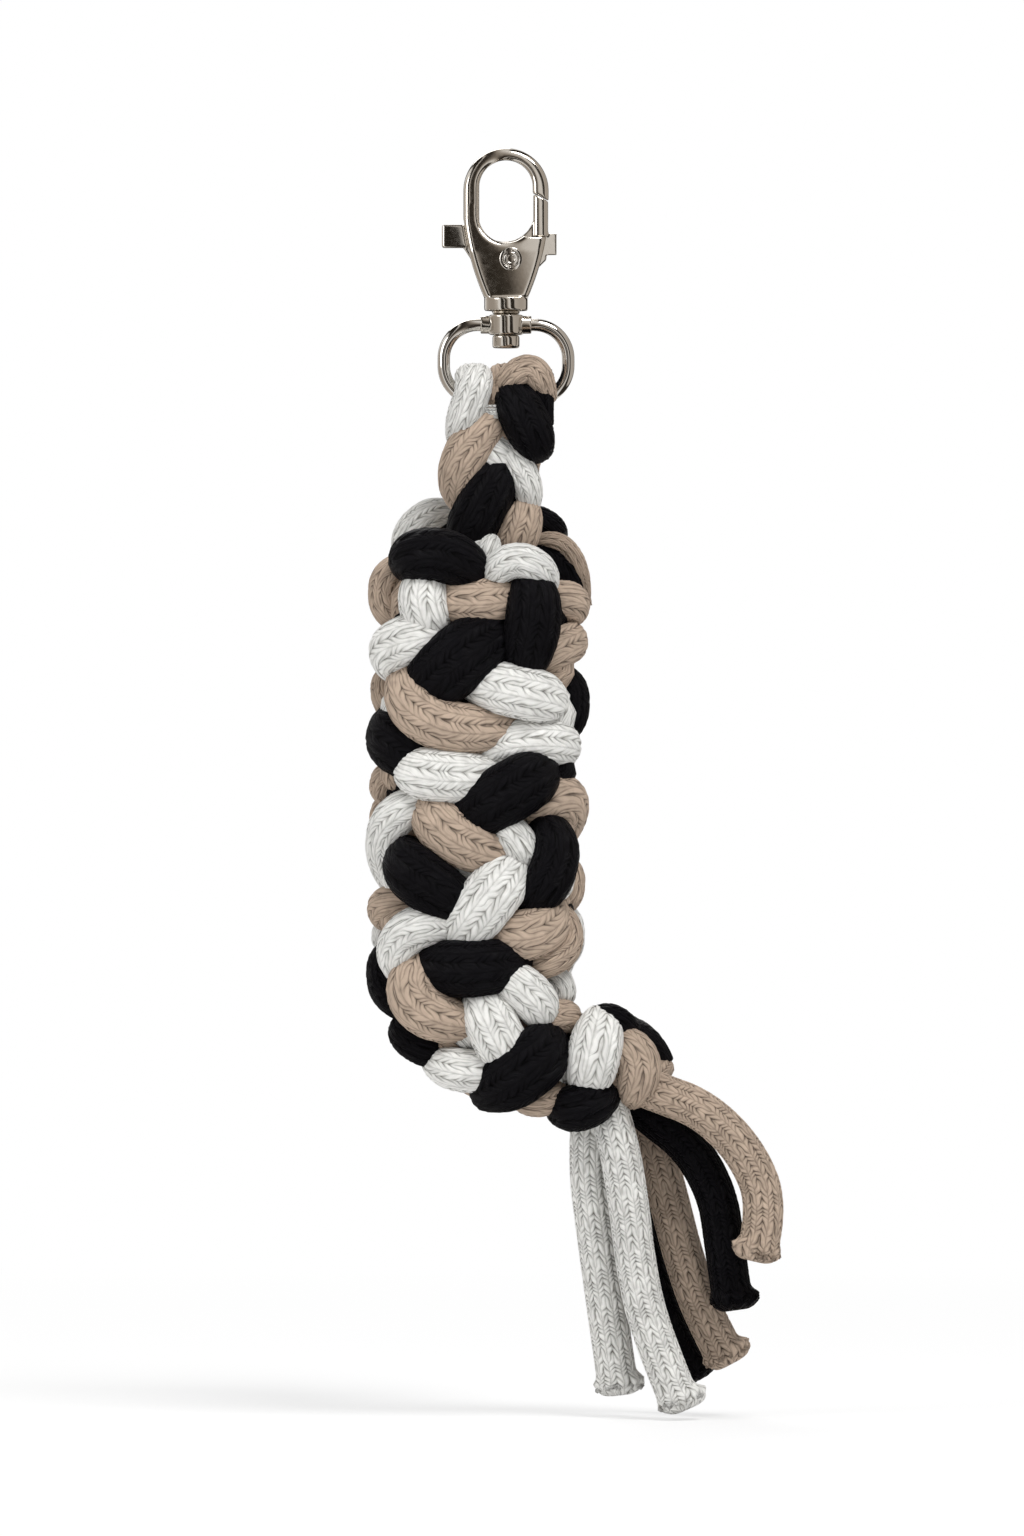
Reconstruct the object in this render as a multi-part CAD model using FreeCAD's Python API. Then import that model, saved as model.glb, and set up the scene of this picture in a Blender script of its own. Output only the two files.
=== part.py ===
import FreeCAD, Part
import math
import os

# A plaited lead rope on a swivel trigger snap, folded into an upright hank.
# Millimetres. X is to the right, Y points away from the viewer and Z is up.
# The origin is where the hook hangs: the top of its opening, on the swivel axis.

V = FreeCAD.Vector
X_AXIS = V(1, 0, 0)
Y_AXIS = V(0, 1, 0)
Z_AXIS = V(0, 0, 1)

# Hook casting
opening_w = 15.0            # clear width of the hook opening
opening_h = 23.2            # clear height of the hook opening
hook_side_w = 4.5           # width of the hook's sides
hook_top_w = 3.4            # height of the bar at the top of the hook
hook_t = 4.6                # front to back thickness of the ring
cheek_t = 2.3               # thickness of each body cheek beside the lever
shoulder_z = -17.0          # where the ring starts to swell into the body
waist_z = -28.0             # mid height of the body
body_end_z = -38.6          # foot of the body, on top of the flange
waist_half_w = 9.9          # half width of the body at the waist
flange_r = 6.15
flange_h = 3.7
neck_r = 3.85
neck_h = 1.0

# Gate lever, its rivet and its spring
pivot_x = 1.4
pivot_drop = 4.7            # rivet centre below the opening
lever_t = 2.8               # lever plate, front to back
side_play = 0.15            # play of the lever on each side in its slot
hub_r = 5.0
seam_r = 19.3               # gate tip radius about the rivet
seam_gap = 0.25             # gap between the gate tip and the hook's nose
gate_foot_z = -21.6         # foot of the thick part of the gate
thumb_len = 8.2             # thumb tab beyond the body's side
thumb_h = 6.4
thumb_top_z = -18.2
ear_len = 2.2               # small ear on the far side of the lever
ear_h = 6.0
slot_end_z = -36.2          # foot of the lever slot
rivet_r = 1.5
rivet_play = 0.05           # running fit of the lever on the rivet
rivet_head_r = 3.25
rivet_head_h = 1.1
rivet_ring_r = 2.0
rivet_dimple_r = 1.1
rivet_step = 0.35
spring_wire = 0.4
spring_gap = 0.4            # spring coil clear of the rivet
spring_turns = 2
spring_play = 0.1           # play of the coil at each end
spring_pocket_depth = 1.6

# Swivel
post_r = 2.5
post_play = 0.05            # running fit of the collar on the post
end_play = 0.1              # play of the collar along the post, each end
collar_r = 4.75
collar_h = 5.7
stub_r = 3.85               # peened end of the post
stub_h = 3.6
edge_break = 0.5
eye_wire = 3.5
eye_half_w = 17.5           # wire centre to the axis, at the widest
eye_corner_r = 9.5
eye_side_run = 2.0          # straight part of the eye's sides
boss_r = 2.5
boss_len = 2.4              # boss beyond the collar's side
boss_bore = 1.7             # depth of the wire in its boss

# Cords, folded over the bar of the eye
fold_cord = 9.0             # a cord pressed between its neighbours
fold_pitch = 9.0
fold_side_shift = -0.5      # middle cord to the swivel axis
bar_gap = 0.8               # cord clear of the bar, for the eye's curve
fold_leg = 9.0              # straight legs below the bar
whip_h = 3.0
whip_t = 0.9
whip_gap = 0.1

# Plaited rope and its hank
rope_d = 26.0
neck_x = -2.5
neck_y = 2.2
neck_run = 30.0             # the neck hangs straight for this length
neck_shift_run = 44.0       # length over which the neck enters the hank
hank_set_back = 3.0         # hank behind the eye, so that it hangs level
left_x = -22.5
right_x = 6.5
core_x = -12.5
layer_y = 27.4              # front and back layers from the core
back_arch_z = -120.0
front_arch_z = -134.5
core_end_z = -192.0
right_end_z = -199.0
left_end_z = -224.0
exit_r = 30.0
exit_run = 8.0
exit_swing = 15.0           # degrees, the exit turned back towards the middle

# End knot and the six loose cords
knot_len = 27.0
knot_mid_r = 17.2
knot_end_r = 11.5
knot_near_run = 8.0         # shoulder of the knot at the rope
knot_far_run = 10.0         # shoulder of the knot at the loose cords
tail_d = 10.6
tip_extra_r = 1.0           # heat sealed end, proud of the cord
tip_len = 3.0

pivot = V(pivot_x, 0, -opening_h - pivot_drop)
slot_t = lever_t + 2 * side_play
body_t = slot_t + 2 * cheek_t
flange_end_z = body_end_z - flange_h
neck_end_z = flange_end_z - neck_h
collar_top_z = neck_end_z - end_play
collar_end_z = collar_top_z - collar_h
stub_top_z = collar_end_z - end_play
boss_z = (collar_top_z + collar_end_z) / 2
bar_z = boss_z - 2 * eye_corner_r - eye_side_run
fold_r = eye_wire / 2 + bar_gap + fold_cord / 2
neck_top_z = bar_z - fold_leg
front_y = hank_set_back - layer_y
back_y = hank_set_back + layer_y
exit_way = V(math.cos(math.radians(exit_swing)), math.sin(math.radians(exit_swing)), 0)
knot_start = V(left_x, front_y, left_end_z - exit_r) + exit_way * (exit_r + exit_run)


def face_of(edges):
    """Flat face inside a closed run of edges."""
    return Part.Face(Part.Wire(edges))


def line(a, b):
    return Part.LineSegment(a, b).toShape()


def arc(a, mid, b):
    return Part.Arc(a, mid, b).toShape()


def xz(x, z):
    return V(x, 0, z)


def slab(face, thickness):
    """Face in the XZ plane made thick, half of it to each side of the plane."""
    face = face.copy()
    face.translate(V(0, -thickness / 2, 0))
    return face.extrude(V(0, thickness, 0))


def polygon(points):
    return Part.Face(Part.makePolygon(points + points[:1]))


def on_circle(centre, radius, degrees):
    turn = math.radians(degrees)
    return centre + V(radius * math.cos(turn), 0, radius * math.sin(turn))


def hook_outline():
    """Outside of the hook and its tapering body, seen from the front."""
    half = opening_w / 2 + hook_side_w
    crown_z = hook_top_w - half
    left, right = xz(-half, shoulder_z), xz(half, shoulder_z)
    foot_left, foot_right = xz(-flange_r, body_end_z), xz(flange_r, body_end_z)
    return face_of([
        arc(xz(-half, crown_z), xz(0, hook_top_w), xz(half, crown_z)),
        line(xz(half, crown_z), right),
        arc(right, xz(waist_half_w, waist_z), foot_right),
        line(foot_right, foot_left),
        arc(foot_left, xz(-waist_half_w, waist_z), left),
        line(left, xz(-half, crown_z)),
    ])


def opening_outline():
    half = opening_w / 2
    top, foot = -half, half - opening_h
    return face_of([
        arc(xz(-half, top), xz(0, 0), xz(half, top)),
        line(xz(half, top), xz(half, foot)),
        arc(xz(half, foot), xz(0, -opening_h), xz(-half, foot)),
        line(xz(-half, foot), xz(-half, top)),
    ])


def side_profile():
    """Thickness of the casting, thin at the ring and full at the rivet."""
    ring, body = hook_t / 2, body_t / 2
    top = hook_top_w + 1
    swell_z = shoulder_z + hook_side_w
    half_side = [V(0, ring, top), V(0, ring, swell_z), V(0, body, waist_z + pivot_drop / 2),
                 V(0, body, body_end_z)]
    other_side = [V(0, -p.y, p.z) for p in reversed(half_side)]
    return polygon(half_side + other_side)


def gate_gap():
    """Space in the ring's right side that the gate closes."""
    inner = opening_w / 2 - hook_side_w / 2
    outer = opening_w / 2 + hook_side_w + 1
    block = slab(polygon([xz(inner, gate_foot_z), xz(outer, gate_foot_z),
                          xz(outer, hook_top_w), xz(inner, hook_top_w)]), body_t + 2)
    reach = Part.makeCylinder(seam_r + seam_gap, body_t + 2, V(pivot.x, -body_t / 2 - 1, pivot.z),
                              Y_AXIS)
    return block.common(reach)


def make_snap_body():
    """Cast hook with a lever slot, the flange and the swivel post."""
    width = opening_w + 2 * hook_side_w + 2
    depth_form = side_profile().extrude(V(width, 0, 0))
    depth_form.translate(V(-width / 2, 0, 0))
    casting = slab(hook_outline(), body_t + 2).common(depth_form)
    casting = casting.cut(slab(opening_outline(), body_t + 2))
    round_r = 0.42 * min(hook_top_w, hook_t)
    casting = casting.makeFillet(round_r, [e for e in casting.Edges if runs_round_the_side(e)])
    slot = slab(polygon([xz(-width, slot_end_z), xz(width, slot_end_z),
                         xz(width, shoulder_z), xz(-width, shoulder_z)]), slot_t)
    hole = Part.makeCylinder(rivet_r, body_t + 2, V(pivot.x, -body_t / 2 - 1, pivot.z), Y_AXIS)
    casting = casting.cut(slot).cut(gate_gap()).cut(hole)
    turned = [Part.makeCylinder(flange_r, flange_h, V(0, 0, flange_end_z)),
              Part.makeCylinder(neck_r, neck_h, V(0, 0, neck_end_z)),
              Part.makeCylinder(post_r, neck_end_z - stub_top_z, V(0, 0, stub_top_z)),
              broken_disc(stub_r, stub_h, stub_top_z - stub_h)]
    return casting.multiFuse(turned).removeSplitter()


def runs_round_the_side(edge):
    """True for the long edges between a flat face and the outline."""
    box = edge.BoundBox
    flat = box.YLength < 1e-6
    along_x_only = box.ZLength < 1e-6
    inside_foot = box.ZMax < body_end_z + 1e-6
    sloped = box.YLength > 1e-6 and box.ZLength > 1e-6
    return (flat and not along_x_only and not inside_foot) or sloped


def broken_disc(radius, height, z):
    disc = Part.makeCylinder(radius, height, V(0, 0, z))
    rims = [e for e in disc.Edges if isinstance(e.Curve, Part.Circle)]
    return disc.makeFillet(edge_break, rims)


def gate_tip_points():
    """Corners of the gate tip, on the seam circle about the rivet."""
    inner = opening_w / 2 + side_play
    outer = opening_w / 2 + hook_side_w - side_play
    mid = (inner + outer) / 2
    return [xz(x, pivot.z + math.sqrt(seam_r ** 2 - (x - pivot.x) ** 2)) for x in (inner, mid, outer)]


def make_gate_lever():
    """Gate, hub, thumb tab and ear, cut from one plate and turning on the rivet."""
    inner_top, mid_top, outer_top = gate_tip_points()
    foot_in, foot_out = xz(inner_top.x, gate_foot_z + side_play), xz(outer_top.x, gate_foot_z + side_play)
    gate = slab(face_of([line(foot_in, inner_top), arc(inner_top, mid_top, outer_top),
                         line(outer_top, foot_out), line(foot_out, foot_in)]), hook_t)
    long_edges = [e for e in gate.Edges if e.BoundBox.ZLength > hook_side_w]
    gate = gate.makeFillet(0.35 * min(hook_side_w, hook_t), long_edges)
    side = opening_w / 2 + hook_side_w
    thumb_foot_z = thumb_top_z - thumb_h
    heel = xz(-flange_r - edge_break, slot_end_z + hook_top_w)
    web = slab(face_of([
        line(xz(-side, thumb_top_z), xz(-hub_r, thumb_top_z - hook_top_w)),
        arc(xz(-hub_r, thumb_top_z - hook_top_w), xz(pivot.x, -opening_h + edge_break),
            xz(inner_top.x, shoulder_z)),
        line(xz(inner_top.x, shoulder_z), xz(outer_top.x, shoulder_z)),
        line(xz(outer_top.x, shoulder_z), xz(outer_top.x - edge_break, thumb_foot_z - hook_top_w)),
        line(xz(outer_top.x - edge_break, thumb_foot_z - hook_top_w), pivot + V(hub_r, 0, -hub_r)),
        line(pivot + V(hub_r, 0, -hub_r), heel),
        line(heel, xz(-side, thumb_foot_z)),
        line(xz(-side, thumb_foot_z), xz(-side, thumb_top_z)),
    ]), lever_t)
    thumb = Part.makeBox(thumb_len, hook_t, thumb_h,
                         V(-side - thumb_len + ear_len, -hook_t / 2, thumb_foot_z))
    thumb = thumb.cut(slab(hook_outline(), body_t))
    thumb = thumb.makeFillet(edge_break, [e for e in thumb.Edges
                                          if e.BoundBox.XMax < -side - ear_len])
    ear = Part.makeBox(ear_len + 1, lever_t, ear_h, V(side - 1, -lever_t / 2, gate_foot_z - ear_h + 1))
    hub = Part.makeCylinder(hub_r, lever_t, V(pivot.x, -lever_t / 2, pivot.z), Y_AXIS)
    lever = web.multiFuse([gate, thumb, ear, hub])
    bore = Part.makeCylinder(rivet_r + rivet_play, body_t, V(pivot.x, -body_t / 2, pivot.z), Y_AXIS)
    pocket_r = rivet_r + 2 * spring_gap + spring_wire + spring_wire / 2
    pocket = Part.makeCylinder(pocket_r, spring_pocket_depth,
                               V(pivot.x, lever_t / 2 - spring_pocket_depth, pivot.z), Y_AXIS)
    return lever.cut(bore).cut(pocket).removeSplitter()


def make_gate_rivet():
    """Rivet with a stepped head on the front and a domed one behind."""
    shank = Part.makeCylinder(rivet_r, body_t, V(pivot.x, -body_t / 2, pivot.z), Y_AXIS)
    front = V(pivot.x, -body_t / 2 - rivet_head_h, pivot.z)
    head = Part.makeCylinder(rivet_head_r, rivet_head_h, front, Y_AXIS)
    groove = Part.makeCylinder(rivet_ring_r + rivet_step, rivet_step, front, Y_AXIS).cut(
        Part.makeCylinder(rivet_ring_r, rivet_step, front, Y_AXIS))
    dimple = Part.makeCylinder(rivet_dimple_r, rivet_step, front, Y_AXIS)
    back = Part.makeCylinder(rivet_head_r, rivet_head_h, V(pivot.x, body_t / 2, pivot.z), Y_AXIS)
    rim = [e for e in back.Edges if e.BoundBox.YMin > body_t / 2 + rivet_head_h / 2]
    back = back.makeFillet(0.7 * rivet_head_h, rim)
    return shank.multiFuse([head.cut(groove).cut(dimple), back]).removeSplitter()


def make_gate_spring():
    """Small torsion coil round the rivet, in the lever's pocket."""
    coil_r = rivet_r + spring_gap + spring_wire / 2
    room = spring_pocket_depth + side_play - 2 * spring_play - spring_wire
    pitch = room / spring_turns
    helix = Part.makeHelix(pitch, pitch * spring_turns, coil_r)
    section = Part.Wire(Part.Circle(V(coil_r, 0, 0), Y_AXIS, spring_wire / 2).toShape())
    coil = Part.Wire(helix.Edges).makePipeShell([section], True, True)
    coil.rotate(V(0, 0, 0), X_AXIS, -90)
    floor_y = lever_t / 2 - spring_pocket_depth + spring_play
    coil.translate(V(pivot.x, floor_y + spring_wire / 2, pivot.z))
    return coil


def make_swivel_collar():
    """Collar that turns on the post, with a boss each side for the eye wire."""
    collar = broken_disc(collar_r, collar_h, collar_end_z)
    boss_end = collar_r + boss_len
    bosses = Part.makeCylinder(boss_r, 2 * boss_end, V(-boss_end, 0, boss_z), X_AXIS)
    sockets = [Part.makeCylinder(eye_wire / 2, boss_bore, V(x, 0, boss_z), X_AXIS)
               for x in (-boss_end, boss_end - boss_bore)]
    bore = Part.makeCylinder(post_r + post_play, collar_h + 2, V(0, 0, collar_end_z - 1))
    collar = collar.fuse(bosses).cut(bore)
    for socket in sockets:
        collar = collar.cut(socket)
    return collar.removeSplitter()


def make_eye_bow():
    """Bent wire eye, from one boss round the rope's bar to the other boss."""
    start = collar_r + boss_len - boss_bore
    turn_x = eye_half_w - eye_corner_r
    upper = xz(turn_x, boss_z - eye_corner_r)
    lower = xz(turn_x, bar_z + eye_corner_r)
    right = [line(xz(start, boss_z), xz(turn_x, boss_z)),
             arc(xz(turn_x, boss_z), on_circle(upper, eye_corner_r, 45), xz(eye_half_w, upper.z)),
             line(xz(eye_half_w, upper.z), xz(eye_half_w, lower.z)),
             arc(xz(eye_half_w, lower.z), on_circle(lower, eye_corner_r, -45), xz(turn_x, bar_z))]
    bar = line(xz(turn_x, bar_z), xz(-turn_x, bar_z))
    left = [e.mirror(V(0, 0, 0), X_AXIS) for e in reversed(right)]
    path = Part.Wire(Part.__sortEdges__(right + [bar] + left))
    section = Part.Wire(Part.Circle(xz(start, boss_z), X_AXIS, eye_wire / 2).toShape())
    return path.makePipeShell([section], True, False)


def make_cord_fold(x):
    """One cord over the bar: half a turn and two straight legs."""
    feet = [V(x, -fold_r, neck_top_z), V(x, fold_r, neck_top_z)]
    tops = [V(x, -fold_r, bar_z), V(x, fold_r, bar_z)]
    path = Part.Wire([line(feet[0], tops[0]), arc(tops[0], V(x, 0, bar_z + fold_r), tops[1]),
                      line(tops[1], feet[1])])
    section = Part.Wire(Part.Circle(feet[0], Z_AXIS, fold_cord / 2).toShape())
    return path.makePipeShell([section], True, False)


def make_throat_whipping():
    """Thread wound round the cord legs just above the plait."""
    half_x = fold_pitch + fold_cord / 2 + whip_gap
    half_y = fold_r + fold_cord / 2 + whip_gap
    outer = rounded_block(half_x + whip_t, half_y + whip_t)
    return outer.cut(rounded_block(half_x, half_y))


def rounded_block(half_x, half_y):
    z = neck_top_z + whip_gap
    block = Part.makeBox(2 * half_x, 2 * half_y, whip_h, V(fold_side_shift - half_x, -half_y, z))
    corners = [e for e in block.Edges if e.BoundBox.ZLength > whip_h / 2]
    corner_r = fold_cord / 2 - (fold_pitch + fold_cord / 2 + whip_gap - half_x)
    return block.makeFillet(corner_r, corners)


def half_turn(a, b, down):
    """Half circle between two upright runs, below them or above them."""
    radius = a.distanceToPoint(b) / 2
    mid = (a + b) * 0.5 + V(0, 0, -radius if down else radius)
    print("half turn radius %.1f mm" % radius)
    return arc(a, mid, b)


def corner_edges(points, name):
    """Straight runs joined by tangent arcs, each as large as its runs allow."""
    edges, start = [], points[0]
    for before, corner, after in zip(points, points[1:], points[2:]):
        back, ahead = before - corner, after - corner
        shorter = min(back.Length, ahead.Length)
        half = (math.pi - back.getAngle(ahead)) / 2
        reach = 0.45 * shorter
        print("%s: radius %.1f mm, turn %.0f degrees" % (name, reach / math.tan(half),
                                                         math.degrees(2 * half)))
        back.normalize()
        ahead.normalize()
        first, last = corner + back * reach, corner + ahead * reach
        bisector = back + ahead
        bisector.normalize()
        centre_out = reach / math.sin(half)
        mid = corner + bisector * (centre_out - reach / math.tan(half))
        edges += [line(start, first), arc(first, mid, last)]
        start = last
    return edges + [line(start, points[-1])]


def hank_edges():
    """The rope's centre line from the neck, through five upright runs, to the knot."""
    core_x_y = (core_x, hank_set_back)
    core_top = V(*core_x_y, neck_top_z - neck_run - neck_shift_run)
    core_foot = V(*core_x_y, core_end_z)
    neck = corner_edges([V(neck_x, neck_y, neck_top_z), V(neck_x, neck_y, neck_top_z - neck_run),
                         core_top, core_foot], "neck")
    back_left = [V(left_x, back_y, core_end_z), V(left_x, back_y, back_arch_z)]
    back_right = [V(right_x, back_y, back_arch_z), V(right_x, back_y, right_end_z)]
    front_right = [V(right_x, front_y, right_end_z), V(right_x, front_y, front_arch_z)]
    front_left = [V(left_x, front_y, front_arch_z), V(left_x, front_y, left_end_z)]
    exit_end = knot_start - exit_way * exit_run
    exit_mid = front_left[1] + exit_way * exit_r - (exit_way + Z_AXIS) * (exit_r / math.sqrt(2))
    return neck + [
        half_turn(core_foot, back_left[0], True), line(*back_left),
        half_turn(back_left[1], back_right[0], False), line(*back_right),
        half_turn(back_right[1], front_right[0], True), line(*front_right),
        half_turn(front_right[1], front_left[0], False), line(*front_left),
        arc(front_left[1], exit_mid, exit_end), line(exit_end, knot_start),
    ]


def least_gap(edges, diameter):
    """Least gap of a tube to itself, measured on points of its centre line."""
    step = 2.0
    points, run = [], 0.0
    for edge in edges:
        count = max(2, int(edge.Length / step))
        for i, point in enumerate(edge.discretize(Number=count + 1)[:-1]):
            points.append((run + edge.Length * i / count, point))
        run += edge.Length
    gaps = [a[1].distanceToPoint(b[1]) for i, a in enumerate(points) for b in points[i + 1:]
            if b[0] - a[0] > 1.6 * diameter]
    return min(gaps) - diameter


def swept_tube(edges, diameter, name):
    """Round tube along tangent edges, with its volume compared with section times length."""
    first = edges[0]
    start = first.valueAt(first.FirstParameter)
    direction = first.tangentAt(first.FirstParameter)
    section = Part.Wire(Part.Circle(start, direction, diameter / 2).toShape())
    tube = Part.Wire(edges).makePipeShell([section], True, False)
    length = sum(e.Length for e in edges)
    expected = math.pi * diameter ** 2 / 4 * length
    print("%s: length %.0f mm, volume ratio %.3f" % (name, length, tube.Volume / expected))
    return tube


def make_rope_hank():
    edges = hank_edges()
    print("rope_hank: least gap to itself %.2f mm" % least_gap(edges, rope_d))
    return swept_tube(edges, rope_d, "rope_hank")


def make_end_knot():
    """Barrel shaped knot, square to the rope's end."""
    near, far = knot_start, knot_start + exit_way * knot_len
    rim_near, rim_far = near + Z_AXIS * (rope_d / 2), far + Z_AXIS * knot_end_r
    top_near = near + exit_way * knot_near_run + Z_AXIS * knot_mid_r
    top_far = far - exit_way * knot_far_run + Z_AXIS * knot_mid_r
    half = face_of([line(near, rim_near), shoulder_arc(rim_near, top_near), line(top_near, top_far),
                    shoulder_arc(rim_far, top_far), line(rim_far, far), line(far, near)])
    return half.revolve(near, exit_way, 360)


def shoulder_arc(rim, top):
    """Arc from the rim of an end face up to the belly, level where it meets the belly."""
    run, rise = (top - rim).dot(exit_way), (top - rim).z
    radius = (run ** 2 + rise ** 2) / (2 * rise)
    middle_turn = math.asin(abs(run) / radius) / 2
    side = math.copysign(1, run)
    mid = top - exit_way * (side * radius * math.sin(middle_turn)) \
        - Z_AXIS * (radius * (1 - math.cos(middle_turn)))
    return arc(rim, mid, top)


# Loose cords, as points from the knot's middle: right, away from the viewer, up
tail_routes = {
    "taupe_tail_outer": [(2, -9, -2), (14, -10.5, -7), (28, -10.5, -12), (40, -11.5, -24),
                         (46, -12, -39), (43, -12, -51)],
    "black_tail_outer": [(5, -1, -6), (13, -1, -14), (24, -2, -22), (32, -2.5, -36), (34, -3, -51),
                         (36, -4, -65)],
    "taupe_tail_inner": [(8.5, 9, -4), (13.5, 10.5, -20), (18, 9, -36), (22.5, 7, -54),
                         (28, 6, -70), (34, 6, -81)],
    "black_tail_inner": [(-2.5, 9.5, -6), (0.5, 13, -20), (6, 14.5, -36), (12, 15.5, -54),
                         (18, 16, -74), (25, 17, -86)],
    "white_tail_front": [(0, -8, -8), (4, -10, -20), (7, -9, -38), (9, -8, -56), (13, -8, -74),
                         (21, -10, -93)],
    "white_tail_back": [(-3, -0.5, -8), (-4.5, 0, -26), (-2, 1, -46), (1, 2, -68), (4, 3, -89)],
}


def make_tail(name, knot):
    """One loose cord, from the knot's skin to its heat sealed end."""
    middle = knot_start + exit_way * (knot_len / 2)
    points = [middle + V(*p) for p in tail_routes[name]]
    edges = corner_edges(points, name)
    tube = swept_tube(edges, tail_d, name)
    last = points[-1] - points[-2]
    last.normalize()
    radius = tail_d / 2
    tip = Part.makeCone(radius, radius + tip_extra_r, tip_len, points[-1], last)
    return tube.fuse(tip).cut(knot).removeSplitter()


def export(shape, name):
    """Write one named piece and print its volume."""
    solids = shape.Solids
    print("%s: %d solid, %.1f mm3, valid %s" % (name, len(solids), shape.Volume, shape.isValid()))
    shape.exportStep("parts/%s.step" % name)


def main():
    os.makedirs("parts", exist_ok=True)
    export(make_snap_body(), "snap_body")
    export(make_gate_lever(), "gate_lever")
    export(make_gate_rivet(), "gate_rivet")
    export(make_gate_spring(), "gate_spring")
    export(make_swivel_collar(), "swivel_collar")
    export(make_eye_bow(), "eye_bow")
    for place, colour in enumerate(("white", "taupe", "black")):
        x = fold_side_shift + (place - 1) * fold_pitch
        export(make_cord_fold(x), colour + "_cord_fold")
    export(make_throat_whipping(), "throat_whipping")
    export(make_rope_hank(), "rope_hank")
    knot = make_end_knot()
    export(knot, "end_knot")
    for name in tail_routes:
        export(make_tail(name, knot), name)


main()
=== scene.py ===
"""A plaited lead rope on a swivel trigger snap, folded into an upright hank.

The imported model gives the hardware. This script dresses it, and lays the plait, the bights of the
hank's front, the end knot, the whipping and the six loose cords over the rope's plain solids.
"""

import logging
import math
from dataclasses import dataclass, field
from enum import Enum

import bpy
import numpy as np
from bpy.types import ID, Material, Mesh, Node, NodeSocket, NodeTree, Object, World
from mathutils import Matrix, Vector
from numpy import ndarray


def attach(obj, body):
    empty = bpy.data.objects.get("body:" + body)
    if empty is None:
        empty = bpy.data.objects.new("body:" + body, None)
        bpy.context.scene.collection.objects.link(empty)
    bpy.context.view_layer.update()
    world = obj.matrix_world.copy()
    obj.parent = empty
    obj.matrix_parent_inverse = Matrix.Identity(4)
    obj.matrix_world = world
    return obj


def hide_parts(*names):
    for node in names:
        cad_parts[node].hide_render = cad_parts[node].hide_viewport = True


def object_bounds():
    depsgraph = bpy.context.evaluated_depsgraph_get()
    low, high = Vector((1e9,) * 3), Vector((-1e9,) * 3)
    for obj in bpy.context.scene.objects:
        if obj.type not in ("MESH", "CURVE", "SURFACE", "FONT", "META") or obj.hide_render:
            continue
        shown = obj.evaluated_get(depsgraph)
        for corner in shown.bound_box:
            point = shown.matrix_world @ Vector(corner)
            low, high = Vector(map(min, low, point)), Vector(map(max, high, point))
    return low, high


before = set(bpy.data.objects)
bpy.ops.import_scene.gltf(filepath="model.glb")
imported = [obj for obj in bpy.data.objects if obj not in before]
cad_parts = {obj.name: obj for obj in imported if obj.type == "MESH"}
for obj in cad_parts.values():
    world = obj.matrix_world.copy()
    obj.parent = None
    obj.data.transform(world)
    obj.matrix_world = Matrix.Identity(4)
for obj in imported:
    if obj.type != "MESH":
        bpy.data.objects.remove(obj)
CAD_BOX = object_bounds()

log = logging.getLogger("lead_rope")

MM = 0.001
PHOTO_W, PHOTO_H = 1024, 1536
PIXEL = 0.28 * MM   # size of one photo pixel at the object
AXIS_PX = 506       # photo column of the swivel axis
HANG_PX = 158       # photo row of the hook opening's top
ROPE_BODY = "rope"
KNOT_LENGTH = 27.0  # along the rope, in mm


def from_photo(px: float, py: float) -> tuple[float, float]:
    """X and Z in metres of a point of the photograph."""
    return (px - AXIS_PX) * PIXEL, (HANG_PX - py) * PIXEL


def linear(hex_colour: str) -> tuple[float, float, float, float]:
    """Linear colour of an sRGB hex value.

    Args:
        hex_colour: six hex digits after a hash.

    Returns:
        Red, green, blue and an alpha of 1.
    """
    parts = [int(hex_colour[i:i + 2], 16) / 255 for i in (1, 3, 5)]
    flat = [p / 12.92 if p <= 0.04045 else ((p + 0.055) / 1.055) ** 2.4 for p in parts]
    return flat[0], flat[1], flat[2], 1.0


def add_node(tree: NodeTree, kind: str, settings: dict | None = None, **links: object) -> Node:
    """Add one node with its settings and links.

    Args:
        tree: node tree that gets it.
        kind: node type without "ShaderNode", such as "Math".
        settings: attributes of the node.
        **links: input name or "i" and its index, with a socket to link or a value to set.

    Returns:
        The new node.
    """
    node = tree.nodes.new("ShaderNode" + kind)
    for key, value in (settings or {}).items():
        setattr(node, key, value)
    for key, value in links.items():
        index = int(key[1:]) if key[0] == "i" and key[1:].isdigit() else key.replace("_", " ")
        socket = node.inputs[index]
        if isinstance(value, NodeSocket):
            tree.links.new(value, socket)
        else:
            socket.default_value = value
    return node


def calc(tree: NodeTree, operation: str, *values: object, kind: str = "Math") -> NodeSocket:
    """Result of one step of arithmetic on values or sockets, given in the node's order."""
    links = {f"i{index}": value for index, value in enumerate(values)}
    return add_node(tree, kind, {"operation": operation}, **links).outputs[0]


def fresh_tree(owner: Material | World) -> NodeTree:
    """Empty node tree of a material or world."""
    owner.use_nodes = True
    owner.node_tree.nodes.clear()
    return owner.node_tree


def add_object(name: str, data: ID) -> Object:
    """New object in the scene with this data."""
    made = bpy.data.objects.new(name, data)
    bpy.context.scene.collection.objects.link(made)
    return made


class Cord(Enum):
    """The three cords that the rope is plaited from."""

    WHITE = "white"
    TAUPE = "taupe"
    BLACK = "black"


RIB_SHIFT = 0.22   # how far each rib has slipped along the cord, in pitches
RIB_MIX = 2.4      # makes the slips of neighbouring ribs differ
SHALLOW = 0.2      # depth of a groove where the yarn comes up, against where it dives
EDGE_DROP = 0.35   # how far a rib's edge lies under its middle
EDGE_POWER = 4     # how late toward its edge a rib falls away
CROWN_POWER = 0.6  # under 1 gives broad yarns with narrow grooves
MID_HEIGHT = 0.6   # mean of a yarn's height, which lies at the cord's own radius


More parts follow.
